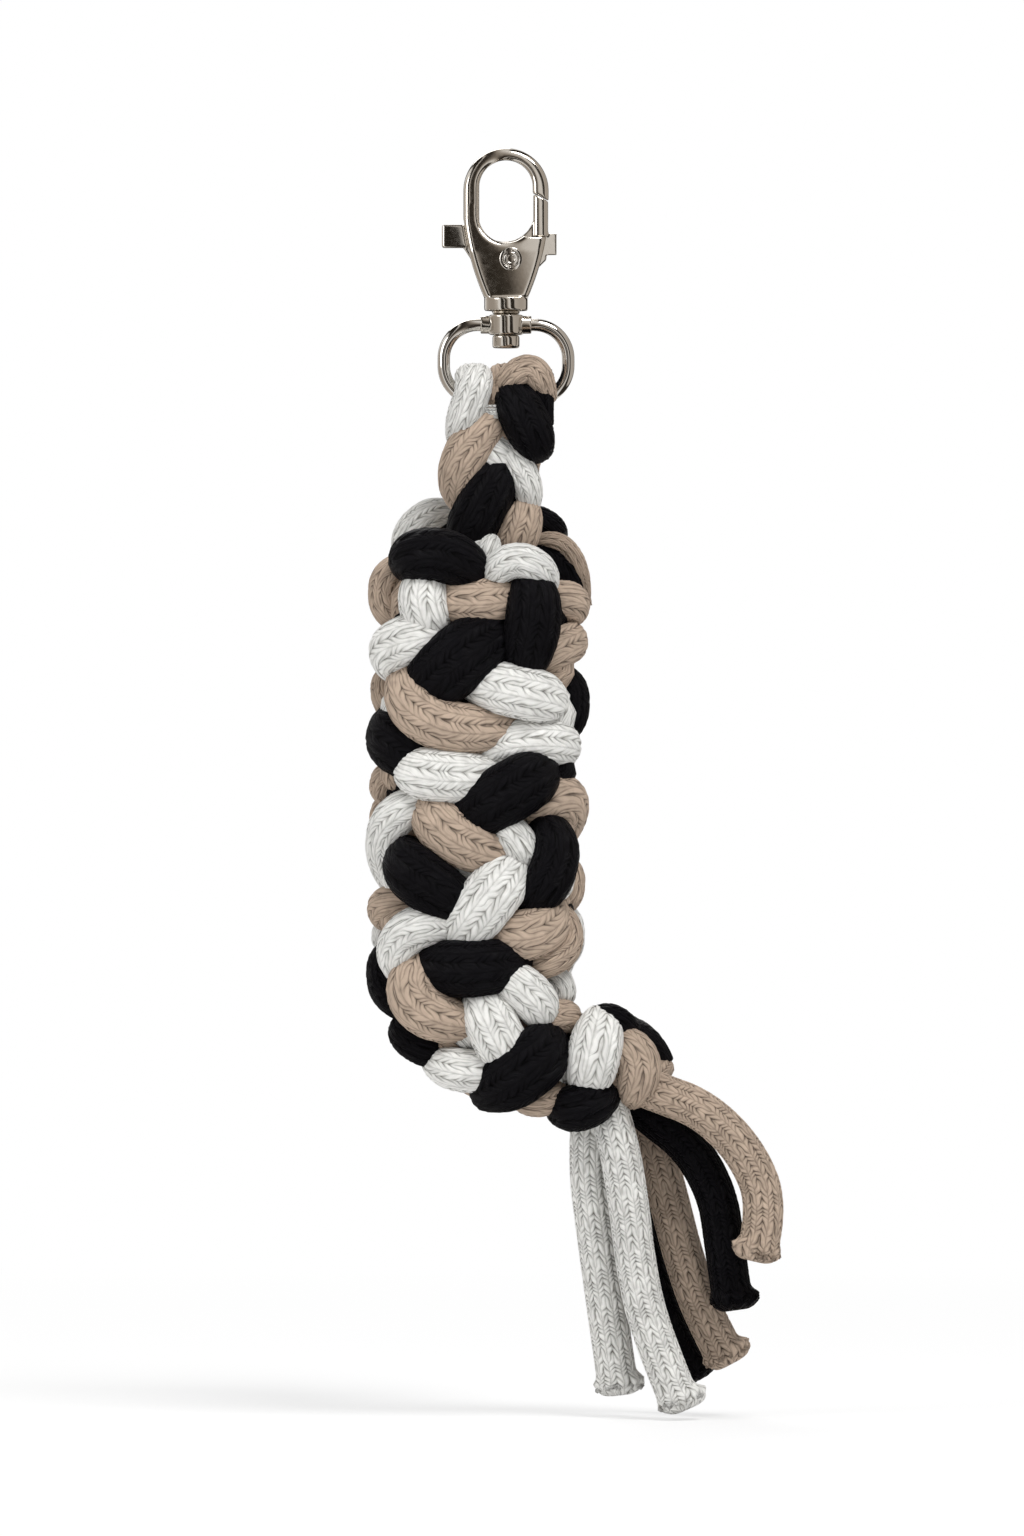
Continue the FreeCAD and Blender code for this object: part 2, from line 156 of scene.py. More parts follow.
@dataclass(frozen=True)
class Lay:
    """How the yarns lie on a braided cord.

    A braided cord has upright ribs of slanting yarns, and each two ribs make one row of chevrons.
    """

    ribs: int      # ribs of slanting yarns round the cord, an even number
    pitch: float   # distance along the cord from one yarn to the next
    slant: float   # how far a yarn runs along the cord over one rib, in pitches
    relief: float  # height of a yarn over the groove beside it
    # where across a rib its yarns start to dive, and where they are down
    dive: tuple[float, float] = (-0.5, 0.4)

    def height(self, u: ndarray, v: ndarray) -> ndarray:
        """Height of the yarns, from 0 in a groove to 1 on a crown.

        Args:
            u: place round the cord, counted in ribs.
            v: place along the cord, counted in pitches.

        Returns:
            The heights.
        """
        rib = np.floor(u)
        across = u - rib - 0.5
        way = 1 - 2 * np.mod(rib, 2)
        along = v + way * self.slant * across + RIB_SHIFT * np.sin(RIB_MIX * rib)
        crown = np.abs(np.cos(math.pi * along)) ** CROWN_POWER
        sunk = np.clip((way * across - self.dive[0]) / (self.dive[1] - self.dive[0]), 0, 1)
        dives = SHALLOW + (1 - SHALLOW) * sunk
        edge = 1 - EDGE_DROP * np.abs(2 * across) ** EDGE_POWER
        return (1 - (1 - crown) * dives) * edge

    def drift(self, u: ndarray, place: ndarray) -> ndarray:
        """How far hand work has pushed the yarns along the cord, in pitches."""
        turn = math.tau * u / self.ribs
        slow_wave, quick_wave = 13 * MM, 5.3 * MM
        slow = np.sin(math.tau * place / slow_wave + 2 * turn)
        quick = np.sin(math.tau * place / quick_wave - 3 * turn + 1.0)
        return 0.5 * slow + 0.25 * quick


FREE_LAY = Lay(ribs=20, pitch=1.9 * MM, slant=1.0, relief=0.6 * MM)
PULLED_LAY = Lay(ribs=18, pitch=2.3 * MM, slant=1.5, relief=0.65 * MM, dive=(-0.3, 0.5))


@dataclass(frozen=True)
class BraidedPolyester:
    """Braided polyester cord: soft matt yarns, with the shade of their grooves painted into the
    colour.
    """

    name: str
    yarn: str          # sRGB colour of the yarns' crowns
    groove: str        # sRGB colour deep between the yarns, a painted shade
    lay: Lay
    gloss: float       # specular level of the filaments
    vary: float = 0.1  # how much paler the palest yarns are
    roughness: float = 0.55

    def make(self) -> Material:
        """Build the material on the piece's own UV map, which counts ribs and pitches."""
        material = bpy.data.materials.new(self.name)
        tree = fresh_tree(material)
        uv = add_node(tree, "UVMap", {"uv_map": "cord"})
        place = add_node(tree, "SeparateXYZ", i0=uv.outputs["UV"])
        rib = calc(tree, "FLOOR", place.outputs["X"])
        across = calc(tree, "SUBTRACT", calc(tree, "SUBTRACT", place.outputs["X"], rib), 0.5)
        odd = calc(tree, "FLOORED_MODULO", rib, 2.0)
        way = calc(tree, "MULTIPLY_ADD", odd, -2.0 * self.lay.slant, self.lay.slant)
        slip = calc(tree, "SINE", calc(tree, "MULTIPLY", rib, RIB_MIX))
        slipped = calc(tree, "MULTIPLY_ADD", slip, RIB_SHIFT, place.outputs["Y"])
        along = calc(tree, "MULTIPLY_ADD", way, across, slipped)
        height = self.yarn_height(tree, along, across, calc(tree, "MULTIPLY", way, across))
        # Single fibres are about 0.02 mm and would not show, so the streaks are drawn 0.3 mm wide
        stretch = add_node(tree, "CombineXYZ", i0=place.outputs["X"], i1=along)
        spread = calc(tree, "MULTIPLY", stretch.outputs[0], (1.2, 9.0, 0.0), kind="VectorMath")
        fibre = add_node(tree, "TexNoise", {"noise_dimensions": "2D"},
                         Vector=spread, Scale=1.0, Detail=3.0, Roughness=0.6)
        mixed = calc(tree, "MULTIPLY_ADD", fibre.outputs["Fac"], 0.6, height)
        # The painted groove shade is lighter in patches, standing for places where the yarns are
        # packed closer and their grooves are fuller
        where = add_node(tree, "TexCoord")
        shade_patches = add_node(tree, "TexNoise", Vector=where.outputs["Object"], Scale=420.0, Detail=1.0)
        shade_height = calc(tree, "MULTIPLY_ADD", shade_patches.outputs["Fac"], 0.55, mixed)
        # Painted shade: where the yarns' height is low, in the grooves and at the ribs' edges, the
        # colour goes over to the darker groove colour
        shade = add_node(tree, "MapRange", i0=shade_height, i1=0.65, i2=1.55, i3=0.0, i4=1.0)
        ramp = add_node(tree, "Mix", {"data_type": "RGBA"},
                        i0=shade.outputs[0], i6=linear(self.groove), i7=linear(self.yarn))
        # Each yarn has a tone of its own, and so have patches about 15 mm wide
        yarn_id = add_node(tree, "CombineXYZ", i0=rib, i1=calc(tree, "ROUND", along))
        yarn_tone = add_node(tree, "TexWhiteNoise", {"noise_dimensions": "2D"},
                             Vector=yarn_id.outputs[0])
        patch = add_node(tree, "TexNoise", Vector=where.outputs["Object"], Scale=70.0, Detail=2.0)
        tone = add_node(tree, "MapRange", i0=patch.outputs["Fac"], i1=0.3, i2=0.7, i3=0.93, i4=1.05)
        vary = calc(tree, "MULTIPLY_ADD", yarn_tone.outputs["Value"], self.vary, tone.outputs[0])
        colour = add_node(tree, "VectorMath", {"operation": "SCALE"}, i0=ramp.outputs[2], Scale=vary)
        bump = add_node(tree, "Bump", Strength=0.8, Distance=0.7 * MM, Height=mixed)
        shader = add_node(tree, "BsdfPrincipled", Base_Color=colour.outputs[0],
                          Roughness=self.roughness, Specular_IOR_Level=self.gloss,
                          Normal=bump.outputs[0])
        add_node(tree, "OutputMaterial", Surface=shader.outputs[0])
        return material

    def yarn_height(self, tree: NodeTree, along: NodeSocket, across: NodeSocket,
                    toward: NodeSocket) -> NodeSocket:
        """The same height as Lay.height gives the mesh.

        Args:
            tree: the material's node tree.
            along: place along the yarns, in pitches.
            across: place across a rib, from its middle.
            toward: the same, turned the way that the rib's yarns run, times the slant.

        Returns:
            The height, from 0 in a groove to 1 on a crown.
        """
        wave = calc(tree, "COSINE", calc(tree, "MULTIPLY", along, math.pi))
        crown = calc(tree, "POWER", calc(tree, "ABSOLUTE", wave), CROWN_POWER)
        side = calc(tree, "POWER", calc(tree, "ABSOLUTE", across), float(EDGE_POWER))
        edge = calc(tree, "MULTIPLY_ADD", side, -EDGE_DROP * 2 ** EDGE_POWER, 1.0)
        start, end = (place * self.lay.slant for place in self.lay.dive)
        dives = add_node(tree, "MapRange", i0=toward, i1=start, i2=end, i3=SHALLOW, i4=1.0)
        groove = calc(tree, "MULTIPLY", calc(tree, "SUBTRACT", 1.0, crown), dives.outputs[0])
        return calc(tree, "MULTIPLY", calc(tree, "SUBTRACT", 1.0, groove), edge)


@dataclass(frozen=True)
class NickelPlate:
    """Bright nickel plate on a tumbled casting: a mirror that wavers a little, with faint haze."""

    name: str
    colour: str = "#CFC9C0"
    roughness: float = 0.09
    waver: float = 0.07  # strength of the ripples
    swell: float = 11.0  # how much the flats lean away from their middle, for each metre
    middle: tuple[float, float, float] = (0.0, 0.0, -27 * MM)

    def make(self) -> Material:
        """Build the material on Object coordinates."""
        material = bpy.data.materials.new(self.name)
        tree = fresh_tree(material)
        where = add_node(tree, "TexCoord")
        ripple = add_node(tree, "TexNoise", Vector=where.outputs["Object"],
                          Scale=260.0, Detail=2.0, Roughness=0.5)
        haze = add_node(tree, "TexNoise", Vector=where.outputs["Object"],
                        Scale=900.0, Detail=4.0, Roughness=0.6)
        rough = add_node(tree, "MapRange", i0=haze.outputs["Fac"], i1=0.35, i2=0.75,
                         i3=self.roughness * 0.7, i4=self.roughness * 1.8)
        # Worn flats are a little domed, so the normal leans away from their middle
        away = calc(tree, "SUBTRACT", where.outputs["Object"], self.middle, kind="VectorMath")
        lean = calc(tree, "MULTIPLY", away, (self.swell, 0.0, self.swell * 0.6), kind="VectorMath")
        facing = add_node(tree, "NewGeometry")
        domed = calc(tree, "ADD", facing.outputs["Normal"], lean, kind="VectorMath")
        normal = calc(tree, "NORMALIZE", domed, kind="VectorMath")
        bump = add_node(tree, "Bump", Strength=self.waver, Distance=0.3 * MM,
                        Height=ripple.outputs["Fac"], Normal=normal)
        shader = add_node(tree, "BsdfPrincipled", Base_Color=linear(self.colour),
                          Metallic=1.0, Roughness=rough.outputs[0], Normal=bump.outputs[0])
        add_node(tree, "OutputMaterial", Surface=shader.outputs[0])
        return material


class Cordage:
    """The cord materials, one for each colour and lay."""

    # colour of the crowns, colour of the grooves with their shade painted in, and specular level
    COLOURS = {
        Cord.WHITE: ("#F3F2EE", "#716E66", 0.2),
        Cord.TAUPE: ("#C3AE9B", "#32271F", 0.15),
        Cord.BLACK: ("#111013", "#010101", 0.05),
    }

    def __init__(self) -> None:
        """Make the materials of free and of pulled cord."""
        self.materials: dict[tuple[Cord, bool], Material] = {}
        for cord, (yarn, groove, gloss) in self.COLOURS.items():
            rough = 0.34 if cord is Cord.BLACK else 0.55
            for free, kind, lay in ((True, "free", FREE_LAY), (False, "pulled", PULLED_LAY)):
                braid = BraidedPolyester(f"braided_polyester_{cord.value}_{kind}", yarn, groove,
                                         lay, gloss, roughness=rough)
                self.materials[cord, free] = braid.make()


def unit(rows: ndarray) -> ndarray:
    """Each row as a direction of length 1."""
    return rows / np.linalg.norm(rows, axis=1)[:, None]


def places_along(line: ndarray) -> ndarray:
    """Distance of each point of a line from its start."""
    steps = np.linalg.norm(np.diff(line, axis=0), axis=1)
    return np.concatenate([[0], np.cumsum(steps)])


@dataclass
class Tube:
    """One swept length of cord, as rings of points."""

    centre: ndarray               # centre line, one row for each ring
    out: ndarray                  # direction at each ring that faces outwards
    half_w: float | ndarray       # half width across, for all rings or for each one
    half_t: float | ndarray       # half thickness along out, in the same way
    lay: Lay
    cord: Cord
    sides: int = 32               # points in each ring
    start: float = 0.0            # place along the cord where it begins
    fullness: float = 2.2         # of the section: 2 for an ellipse, more for a boxier one
    swell: float | ndarray = 0.0  # how far each point stands out over the section

    def yarns(self, place: ndarray, extra: int = 0) -> tuple[ndarray, ndarray]:
        """Place round and along the cord of each point, counted in ribs and in pitches."""
        ribs = np.arange(self.sides + extra)[None, :] * self.lay.ribs / self.sides
        along = place[:, None] / self.lay.pitch + self.lay.drift(ribs, place[:, None])
        return np.broadcast_to(ribs, along.shape), along

    def rings(self) -> tuple[ndarray, ndarray]:
        """Points of the rings, and the place of each ring along the cord."""
        along = unit(np.gradient(self.centre, axis=0))
        out = unit(self.out - along * np.sum(self.out * along, axis=1)[:, None])
        side = np.cross(along, out)
        place = self.start + places_along(self.centre)
        turn = math.tau * np.arange(self.sides) / self.sides
        power = 2 / self.fullness
        cos = np.sign(np.cos(turn)) * np.abs(np.cos(turn)) ** power
        sin = np.sign(np.sin(turn)) * np.abs(np.sin(turn)) ** power
        rise = self.lay.relief * (self.lay.height(*self.yarns(place)) - MID_HEIGHT) + self.swell
        wide = np.reshape(self.half_w, (-1, 1)) * cos + rise * np.cos(turn)
        thick = np.reshape(self.half_t, (-1, 1)) * sin + rise * np.sin(turn)
        points = (self.centre[:, None, :] + side[:, None, :] * wide[:, :, None]
                  + out[:, None, :] * thick[:, :, None])
        return points, place


def mesh_of(name: str, tubes: list[Tube], cordage: Cordage, free: bool = False) -> Object:
    """One object of several swept lengths, each with its own colour and closed ends.

    Args:
        name: the piece's name.
        tubes: the lengths of cord.
        cordage: the cord materials.
        free: True where the cord isn't pulled tight.

    Returns:
        The new object.
    """
    points, faces, uvs, slots, colours = [], [], [], [], []
    base = 0
    for tube in tubes:
        rings, place = tube.rings()
        count, sides = rings.shape[:2]
        if tube.cord not in colours:
            colours.append(tube.cord)
        i, j = np.meshgrid(np.arange(count - 1), np.arange(sides), indexing="ij")
        after = (j + 1) % sides
        quads = np.stack([i * sides + j, i * sides + after, (i + 1) * sides + after,
                          (i + 1) * sides + j], axis=-1).reshape(-1, 4) + base
        uv = np.stack(tube.yarns(place, 1), axis=-1)
        quad_uv = np.stack([uv[i, j], uv[i, j + 1], uv[i + 1, j + 1], uv[i + 1, j]], axis=2)
        points.append(rings.reshape(-1, 3))
        faces.append(quads)
        uvs.append(quad_uv.reshape(-1, 2))
        slots.append(np.full(len(quads), colours.index(tube.cord)))
        base += count * sides
    mesh = bpy.data.meshes.new(name)
    fill_mesh(mesh, np.concatenate(points), np.concatenate(faces), np.concatenate(uvs),
              np.concatenate(slots))
    for cord in colours:
        mesh.materials.append(cordage.materials[cord, free])
    piece = add_object(name, mesh)
    close_ends(piece)
    return piece


def fill_mesh(mesh: Mesh, points: ndarray, quads: ndarray, uvs: ndarray, slots: ndarray) -> None:
    """Write points, four-sided faces, UVs and material slots into a mesh."""
    mesh.vertices.add(len(points))
    mesh.vertices.foreach_set("co", points.astype(np.float32).ravel())
    mesh.loops.add(quads.size)
    mesh.loops.foreach_set("vertex_index", quads.astype(np.int32).ravel())
    mesh.polygons.add(len(quads))
    mesh.polygons.foreach_set("loop_start", np.arange(0, quads.size, 4, dtype=np.int32))
    mesh.polygons.foreach_set("material_index", slots.astype(np.int32))
    layer = mesh.uv_layers.new(name="cord")
    layer.data.foreach_set("uv", uvs.astype(np.float32).ravel())
    mesh.update(calc_edges=True)
    mesh.polygons.foreach_set("use_smooth", np.ones(len(quads), dtype=bool))
    mesh.validate()


def select_only(piece: Object) -> None:
    """Make a piece the only selected and active object."""
    bpy.ops.object.select_all(action="DESELECT")
    piece.select_set(True)
    bpy.context.view_layer.objects.active = piece


def close_ends(piece: Object) -> None:
    """Fill the open ends of a piece's tubes and turn its faces outwards."""
    select_only(piece)
    bpy.ops.object.mode_set(mode="EDIT")
    bpy.ops.mesh.select_all(action="SELECT")
    bpy.ops.mesh.fill_holes(sides=0)
    bpy.ops.mesh.normals_make_consistent(inside=False)
    bpy.ops.object.mode_set(mode="OBJECT")


def spline_points(points: list[tuple[float, float, float]], step: float) -> ndarray:
    """Evenly spaced points of the smooth line that a route's points control.

    Args:
        points: the route's control points, in metres.
        step: distance between the points that come back.

    Returns:
        One row for each point.
    """
    curve = bpy.data.curves.new("route", "CURVE")
    curve.dimensions = "3D"
    curve.resolution_u = 24
    spline = curve.splines.new("NURBS")
    spline.points.add(len(points) - 1)
    for target, point in zip(spline.points, points):
        target.co = (*point, 1.0)
    spline.order_u = 3
    spline.use_endpoint_u = True
    route = add_object("route", curve)
    mesh = bpy.data.meshes.new_from_object(route)
    line = np.array([v.co[:] for v in mesh.vertices])
    bpy.data.objects.remove(route)
    bpy.data.curves.remove(curve)
    bpy.data.meshes.remove(mesh)
    lengths = places_along(line)
    places = np.linspace(0, lengths[-1], max(4, int(lengths[-1] / step)))
    return np.stack([np.interp(places, lengths, line[:, k]) for k in range(3)], axis=1)


def carried_frames(line: ndarray, first: tuple[float, float, float]) -> ndarray:
    """Directions square to a line that turn with it and never twist about it."""
    out = np.zeros_like(line)
    held = np.array(first, dtype=float)
    for i, way in enumerate(unit(np.gradient(line, axis=0))):
        held = held - way * held.dot(way)
        held /= np.linalg.norm(held)
        out[i] = held
    return out


@dataclass
class RopeRoute:
    """The rope's way from the eye, through the hank's five upright runs, to the knot, in mm."""

    neck: list = field(default_factory=lambda: [
        (-2.5, 2.2, -76.25), (-2.5, 2.2, -106.25), (-12.5, 3.0, -150.25), (-12.5, 3.0, -192.0)])
    left: float = -22.5
    right: float = 6.5
    front: float = -24.4
    back: float = 30.4
    core_foot: float = -192.0
    back_arch: float = -120.0
    front_arch: float = -134.5
    right_foot: float = -199.0
    left_foot: float = -224.0
    exit_r: float = 30.0
    exit_run: float = 8.0
    exit_swing: float = 15.0

    def half_turn(self, a: tuple, b: tuple, down: bool) -> list[tuple]:
        """Points of a half circle from the top or foot of one run to the next."""
        a, b = np.array(a), np.array(b)
        centre, radius = (a + b) / 2, np.linalg.norm(a - b) / 2
        drop = np.array((0, 0, -radius if down else radius))
        turns = [math.pi * k / 6 for k in range(1, 6)]
        return [tuple(centre + (a - centre) * math.cos(t) + drop * math.sin(t)) for t in turns]

    def exit_way(self) -> ndarray:
        """Direction in which the last run reaches the knot."""
        swing = math.radians(self.exit_swing)
        return np.array((math.cos(swing), math.sin(swing), 0))

    def points(self) -> list[tuple[float, float, float]]:
        """Control points of the whole route, in metres."""
        # x, y, and the heights of the start and end, of the upright runs after the neck
        runs = ((self.left, self.back, self.core_foot, self.back_arch),
                (self.right, self.back, self.back_arch, self.right_foot),
                (self.right, self.front, self.right_foot, self.front_arch),
                (self.left, self.front, self.front_arch, self.left_foot))
        route = list(self.neck)
        for index, (x, y, start, end) in enumerate(runs):
            route += self.half_turn(route[-1], (x, y, start), index % 2 == 0)
            route += [(x, y, start), (x, y, end)]
        way, foot = self.exit_way(), np.array(route[-1])
        centre = foot + way * self.exit_r
        for t in (30, 60, 90):
            turn = math.radians(t)
            route.append(tuple(centre - way * self.exit_r * math.cos(turn)
                               - np.array((0, 0, self.exit_r)) * math.sin(turn)))
        route.append(tuple(self.knot_start()))
        return [tuple(c * MM for c in p) for p in route]

    def knot_start(self) -> ndarray:
        """Point in mm where the rope enters the knot."""
        foot = np.array((self.left, self.front, self.left_foot - self.exit_r))
        return foot + self.exit_way() * (self.exit_r + self.exit_run)


@dataclass
class Plait:
    """The rope's round plait: three cords wound one way and three the other, over and under."""

    route: RopeRoute
    pitch: float = 43.7 * MM       # length in which a cord goes once round
    mean_r: float = 7.4 * MM
    weave: float = 1.9 * MM        # how far a cord rises over and dips under
    half_w: float = 6.3 * MM
    half_t: float = 4.1 * MM
    phase: float = 1.1
    diameter: float = 26.0 * MM
    step: float = 1.9 * MM         # from ring to ring
    order: tuple[Cord, ...] = (Cord.WHITE, Cord.BLACK, Cord.TAUPE)
    pressed_y: float = -21.5 * MM  # the hank's front is pressed back to here, under the bights

    def strand(self, line: ndarray, out: ndarray, side: ndarray, index: int, way: int) -> Tube:
        """One cord of the plait."""
        place = places_along(line)
        turn = way * math.tau * place / self.pitch + math.tau * index / 3 + self.phase
        radius = self.mean_r + way * self.weave * np.cos(6 * math.pi * place / self.pitch)
        ray = out * np.cos(turn)[:, None] + side * np.sin(turn)[:, None]
        centre = line + ray * radius[:, None]
        in_hank = (line[:, 1] < self.route.front * MM / 2) & (centre[:, 1] < self.pressed_y)
        centre[in_hank, 1] = self.pressed_y
        return Tube(centre, ray, self.half_w, self.half_t, PULLED_LAY, self.order[index], sides=18)

    def build(self, cordage: Cordage) -> tuple[Object, ndarray]:
        """Make the plait along its route.

        Returns:
            The piece and the line that it follows.
        """
        line = spline_points(self.route.points(), self.step)
        out = carried_frames(line, (0, -1, 0))
        side = unit(np.cross(np.gradient(line, axis=0), out))
        tubes = [self.strand(line, out, side, index, way) for way in (1, -1) for index in range(3)]
        return mesh_of("plaited_rope", tubes, cordage), line


@dataclass(frozen=True)
class Bight:
    """One cord's visible bight in the plait, in photo pixels."""

    cord: Cord
    start: tuple[float, float]   # where it comes up from under its neighbour
    middle: tuple[float, float]  # a point of its crown
    end: tuple[float, float]     # where it goes under again
    half_w: float                # half its width across
    deep: float = 0.0            # how far it lies behind the front of the rope, in mm
    tuck_start: float = 0.16     # how far its start goes on under, as a part of its length
    tuck_end: float = 0.16       # the same for its end


W, T, B = Cord.WHITE, Cord.TAUPE, Cord.BLACK


def bights(*rows: tuple) -> tuple[Bight, ...]:
    """Bights from rows of colour, start, middle, end, half width, and what else is given."""
    return tuple(Bight(row[0], row[1:3], row[3:5], row[5:7], *row[7:]) for row in rows)


EYE_BIGHTS = bights(
    (W, 480, 373, 470, 400, 457, 432, 17, 0, 0.0, 0.1),
    (T, 497, 396, 528, 369, 547, 398, 14, 1, 0.05, 0.0),
    (B, 510, 392, 525, 420, 538, 450, 23, 0, 0.1, 0.0),
)

NECK_BIGHTS = bights(
    (T, 499, 412, 468, 450, 450, 504, 22, 1), (W, 503, 444, 522, 473, 533, 512, 15, 2),
    (B, 502, 466, 481, 507, 460, 547, 25), (T, 524, 503, 519, 530, 510, 552, 21, 3),
)

SHOULDER_BIGHTS = bights(
    (W, 401, 545, 419, 519, 446, 508, 16), (B, 530, 512, 546, 519, 560, 530, 12, 3),
    (T, 535, 541, 566, 545, 585, 584, 9, -3), (B, 538, 550, 560, 560, 574, 590, 18),
)

FRONT_BIGHTS = bights(
    (B, 396, 566, 436, 556, 477, 574, 26), (W, 492, 543, 486, 559, 482, 576, 12, 5),
    (W, 486, 584, 520, 562, 557, 590, 17, 1), (T, 392, 562, 381, 593, 390, 626, 16, 8),
    (W, 428, 580, 424, 604, 434, 632, 24, 2), (T, 444, 601, 478, 602, 514, 598, 23, 3),
    (B, 532, 583, 533, 622, 524, 668, 27), (T, 552, 600, 573, 603, 588, 618, 19, 7),
    (T, 536, 666, 563, 646, 588, 640, 20, 6), (W, 376, 670, 400, 644, 444, 633, 24, 2),
    (B, 424, 692, 456, 662, 498, 632, 33), (W, 474, 684, 519, 692, 562, 703, 26, 1),
    (B, 578, 672, 580, 703, 574, 740, 17, 7), (T, 376, 668, 377, 692, 388, 720, 12, 8),
    (T, 398, 672, 432, 720, 506, 728, 26, 1), (B, 368, 722, 391, 742, 418, 766, 27, 4),
    (W, 474, 758, 530, 742, 588, 752, 23, 5), (W, 403, 768, 442, 776, 492, 776, 26, 1),
    (B, 462, 820, 507, 793, 548, 768, 30), (T, 394, 768, 380, 783, 372, 802, 14, 8),
    (T, 532, 818, 564, 800, 582, 840, 24, 6), (T, 428, 806, 455, 836, 502, 854, 26, 1),
    (W, 496, 824, 515, 838, 528, 864, 18, 3), (B, 557, 825, 554, 864, 536, 904, 24, 1),
    (W, 424, 801, 388, 828, 376, 892, 20, 4), (T, 384, 798, 372, 817, 368, 842, 12, 11),
    (B, 393, 852, 424, 880, 464, 906, 28), (W, 448, 864, 468, 872, 490, 872, 12, 6),
    (W, 514, 866, 487, 900, 458, 937, 28), (T, 498, 930, 533, 932, 560, 908, 25, 3),
    (T, 574, 904, 567, 947, 530, 970, 14, 4), (W, 577, 905, 577, 936, 572, 966, 13, 13),
    (T, 580, 858, 578, 884, 572, 912, 13, 10), (T, 410, 902, 387, 905, 370, 924, 18, 8),
    (W, 380, 922, 376, 936, 376, 950, 11, 12), (W, 456, 928, 410, 931, 388, 976, 21, 2),
    (B, 428, 964, 470, 967, 516, 961, 28), (B, 380, 944, 376, 976, 400, 1014, 16, 7),
    (T, 413, 960, 419, 1003, 468, 1022, 25, 1), (W, 502, 974, 528, 992, 545, 1016, 22, 2),
    (W, 556, 970, 563, 988, 562, 1006, 12, 9), (W, 480, 998, 496, 1031, 513, 1064, 26, 1),
    (T, 528, 1028, 556, 1016, 582, 1024, 17, 6), (B, 488, 1090, 526, 1066, 556, 1034, 31),
    (W, 436, 1062, 466, 1069, 498, 1068, 21, 4), (B, 394, 1020, 415, 1043, 444, 1054, 16, 7),
    (T, 434, 1034, 446, 1040, 458, 1044, 10, 7), (W, 450, 1022, 462, 1030, 474, 1044, 12, 5),
    (T, 518, 1096, 543, 1099, 567, 1086, 15, 6),
)

KNOT_BIGHTS = bights(
    (W, 601, 1020, 594, 1051, 587, 1084, 26, 0, 0.0, 0.05),
    (B, 560, 1106, 581, 1105, 606, 1092, 23, 2, 0.0, 0.1),
    (B, 594, 1021, 612, 1018, 632, 1034, 14, 5, 0.1, 0.0),
    (T, 618, 1040, 638, 1062, 630, 1096, 21, 3, 0.1, 0.05),
)


@dataclass
class Bights:
    """The bights of one stretch of the rope, each a short length that dives under at both ends."""

    name: str
    bights: tuple[Bight, ...]
    crown: float                  # y of the front of the stretch, in mm
    left: float = -22.5           # the stretch turns away beyond these, in mm
    right: float = 6.5
    round_r: float = 13.0         # how far beyond them a cord's middle can be
    straight: float = 0.72        # part of that where the photo's place is kept
    half_t: float = 5.2 * MM
    dive: float = 6.0 * MM        # how deep a bight's ends go
    deepest: float = 9.0 * MM     # and how deep beyond them
    narrow: float = 0.34          # part of its width that a bight loses at its ends
    start_step: float = 1.7 * MM  # shifts each bight's yarns from those of the one before
    rings: int = 44
    sides: int = 48

    def wrap(self, x: ndarray) -> tuple[ndarray, ndarray, ndarray]:
        """Lead what would stick out at the sides back round the rope.

        Returns:
            The new x, how far behind the front it goes, and the angle that it then faces.
        """
        beyond = np.maximum(x / MM - self.right, 0) + np.minimum(x / MM - self.left, 0)
        size, side = np.abs(beyond), np.sign(beyond)
        over = np.maximum(size - self.straight * self.round_r, 0)
        room = (1 - self.straight) * self.round_r
        kept = room * (1 - np.exp(-over / room))
        aside = np.minimum(size, self.straight * self.round_r) + kept
        facing = side * np.arcsin(np.clip(aside / self.round_r, 0, 0.995))
        fall = 0.75 * self.round_r * (1 - np.cos(facing)) + np.minimum(over - kept, 4.5)
        return x + side * (aside - size) * MM, fall * MM, facing

    def tubes(self) -> list[Tube]:
        """Sweep each bight."""
        return [self.tube(b, self.start_step * i) for i, b in enumerate(self.bights)]

    def tube(self, bight: Bight, start: float) -> Tube:
        """Sweep one bight."""
        ends = [np.array(from_photo(*p)) for p in (bight.start, bight.middle, bight.end)]
        control = 2 * ends[1] - (ends[0] + ends[2]) / 2
        t = np.linspace(-bight.tuck_start, 1 + bight.tuck_end, self.rings)[:, None]
        flat = ends[0] * (1 - t) ** 2 + control * 2 * t * (1 - t) + ends[2] * t ** 2
        reach = np.abs(2 * t[:, 0] - 1)
        x, fall, facing = self.wrap(flat[:, 0])
        depth = (self.crown + bight.deep) * MM + self.half_t + fall
        centre = np.stack([x, depth, flat[:, 1]], axis=1)
        wide = bight.half_w * PIXEL * (1.02 - self.narrow * np.minimum(reach, 1.2) ** 3)
        thick = np.minimum(self.half_t, wide * 0.95)
        out = np.stack([np.sin(facing), -np.cos(facing), np.zeros(self.rings)], axis=1)
        centre -= out * np.minimum(self.dive * reach ** 3, self.deepest)[:, None]
        return Tube(centre, out, wide, thick, PULLED_LAY, bight.cord, self.sides, start, 2.1)

    def build(self, cordage: Cordage) -> Object:
        """Make all the bights as one piece."""
        return mesh_of(self.name, self.tubes(), cordage)


